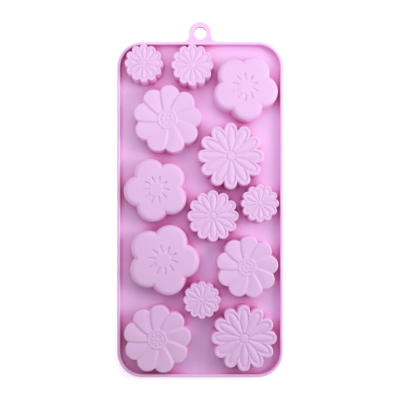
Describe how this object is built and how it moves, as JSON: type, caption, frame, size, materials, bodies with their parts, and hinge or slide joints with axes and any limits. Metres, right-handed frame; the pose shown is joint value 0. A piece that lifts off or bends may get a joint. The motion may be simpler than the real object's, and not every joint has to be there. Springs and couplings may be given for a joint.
{
  "type": "silicone soap mould",
  "caption": "One-piece rubber tray mould with flower cups in daisy, nine-petal and five-petal patterns, a low rim and a hanging tab; cup faces push in to release soap.",
  "frame": {"origin": "middle of the whole footprint, tab included, on the mouth side where soap is poured in", "axes": "+Z from the mouth side to the outside of the cup faces, +Y towards the hanging tab, +X across the mould; the mould lies mouth down"},
  "size_m": [0.105, 0.225, 0.015],
  "materials": {
    "silicone": "satin"
  },
  "bodies": {
    "tray": {"sheet": "silicone", "rim": "silicone", "cup_wall_small_daisy_1": "silicone", "cup_wall_small_daisy_2": "silicone", "cup_wall_small_daisy_3": "silicone", "cup_wall_small_daisy_4": "silicone", "cup_wall_medium_daisy": "silicone", "cup_wall_large_daisy_1": "silicone", "cup_wall_large_daisy_2": "silicone", "cup_wall_nine_petal_1": "silicone", "cup_wall_nine_petal_2": "silicone", "cup_wall_nine_petal_3": "silicone", "cup_wall_five_petal_1": "silicone", "cup_wall_five_petal_2": "silicone", "cup_wall_five_petal_3": "silicone"},
    "tab": {"hanging_tab": "silicone"},
    "face_small_daisy_1": {"cup_face_small_daisy_1": "silicone"},
    "face_small_daisy_2": {"cup_face_small_daisy_2": "silicone"},
    "face_small_daisy_3": {"cup_face_small_daisy_3": "silicone"},
    "face_small_daisy_4": {"cup_face_small_daisy_4": "silicone"},
    "face_medium_daisy": {"cup_face_medium_daisy": "silicone"},
    "face_large_daisy_1": {"cup_face_large_daisy_1": "silicone"},
    "face_large_daisy_2": {"cup_face_large_daisy_2": "silicone"},
    "face_nine_petal_1": {"cup_face_nine_petal_1": "silicone"},
    "face_nine_petal_2": {"cup_face_nine_petal_2": "silicone"},
    "face_nine_petal_3": {"cup_face_nine_petal_3": "silicone"},
    "face_five_petal_1": {"cup_face_five_petal_1": "silicone"},
    "face_five_petal_2": {"cup_face_five_petal_2": "silicone"},
    "face_five_petal_3": {"cup_face_five_petal_3": "silicone"}
  },
  "joints": [
    {"name": "push_small_daisy_1", "type": "slide", "parent": "tray", "child": "face_small_daisy_1", "axis": [0, 0, -1], "range_m": [0, 0.008], "stiffness_N_per_m": 300},
    {"name": "push_small_daisy_2", "type": "slide", "parent": "tray", "child": "face_small_daisy_2", "axis": [0, 0, -1], "range_m": [0, 0.008], "stiffness_N_per_m": 300},
    {"name": "push_small_daisy_3", "type": "slide", "parent": "tray", "child": "face_small_daisy_3", "axis": [0, 0, -1], "range_m": [0, 0.008], "stiffness_N_per_m": 300},
    {"name": "push_small_daisy_4", "type": "slide", "parent": "tray", "child": "face_small_daisy_4", "axis": [0, 0, -1], "range_m": [0, 0.008], "stiffness_N_per_m": 300},
    {"name": "push_medium_daisy", "type": "slide", "parent": "tray", "child": "face_medium_daisy", "axis": [0, 0, -1], "range_m": [0, 0.008], "stiffness_N_per_m": 300},
    {"name": "push_large_daisy_1", "type": "slide", "parent": "tray", "child": "face_large_daisy_1", "axis": [0, 0, -1], "range_m": [0, 0.008], "stiffness_N_per_m": 300},
    {"name": "push_large_daisy_2", "type": "slide", "parent": "tray", "child": "face_large_daisy_2", "axis": [0, 0, -1], "range_m": [0, 0.008], "stiffness_N_per_m": 300},
    {"name": "push_nine_petal_1", "type": "slide", "parent": "tray", "child": "face_nine_petal_1", "axis": [0, 0, -1], "range_m": [0, 0.008], "stiffness_N_per_m": 300},
    {"name": "push_nine_petal_2", "type": "slide", "parent": "tray", "child": "face_nine_petal_2", "axis": [0, 0, -1], "range_m": [0, 0.008], "stiffness_N_per_m": 300},
    {"name": "push_nine_petal_3", "type": "slide", "parent": "tray", "child": "face_nine_petal_3", "axis": [0, 0, -1], "range_m": [0, 0.008], "stiffness_N_per_m": 300},
    {"name": "push_five_petal_1", "type": "slide", "parent": "tray", "child": "face_five_petal_1", "axis": [0, 0, -1], "range_m": [0, 0.008], "stiffness_N_per_m": 300},
    {"name": "push_five_petal_2", "type": "slide", "parent": "tray", "child": "face_five_petal_2", "axis": [0, 0, -1], "range_m": [0, 0.008], "stiffness_N_per_m": 300},
    {"name": "push_five_petal_3", "type": "slide", "parent": "tray", "child": "face_five_petal_3", "axis": [0, 0, -1], "range_m": [0, 0.008], "stiffness_N_per_m": 300},
    {"name": "tab_bend", "type": "hinge", "parent": "tray", "child": "tab", "pos_m": [0, 0.1012, 0.00575], "axis": [1, 0, 0], "range_deg": [-20, 90], "stiffness_Nm_per_rad": 0.005}
  ]
}
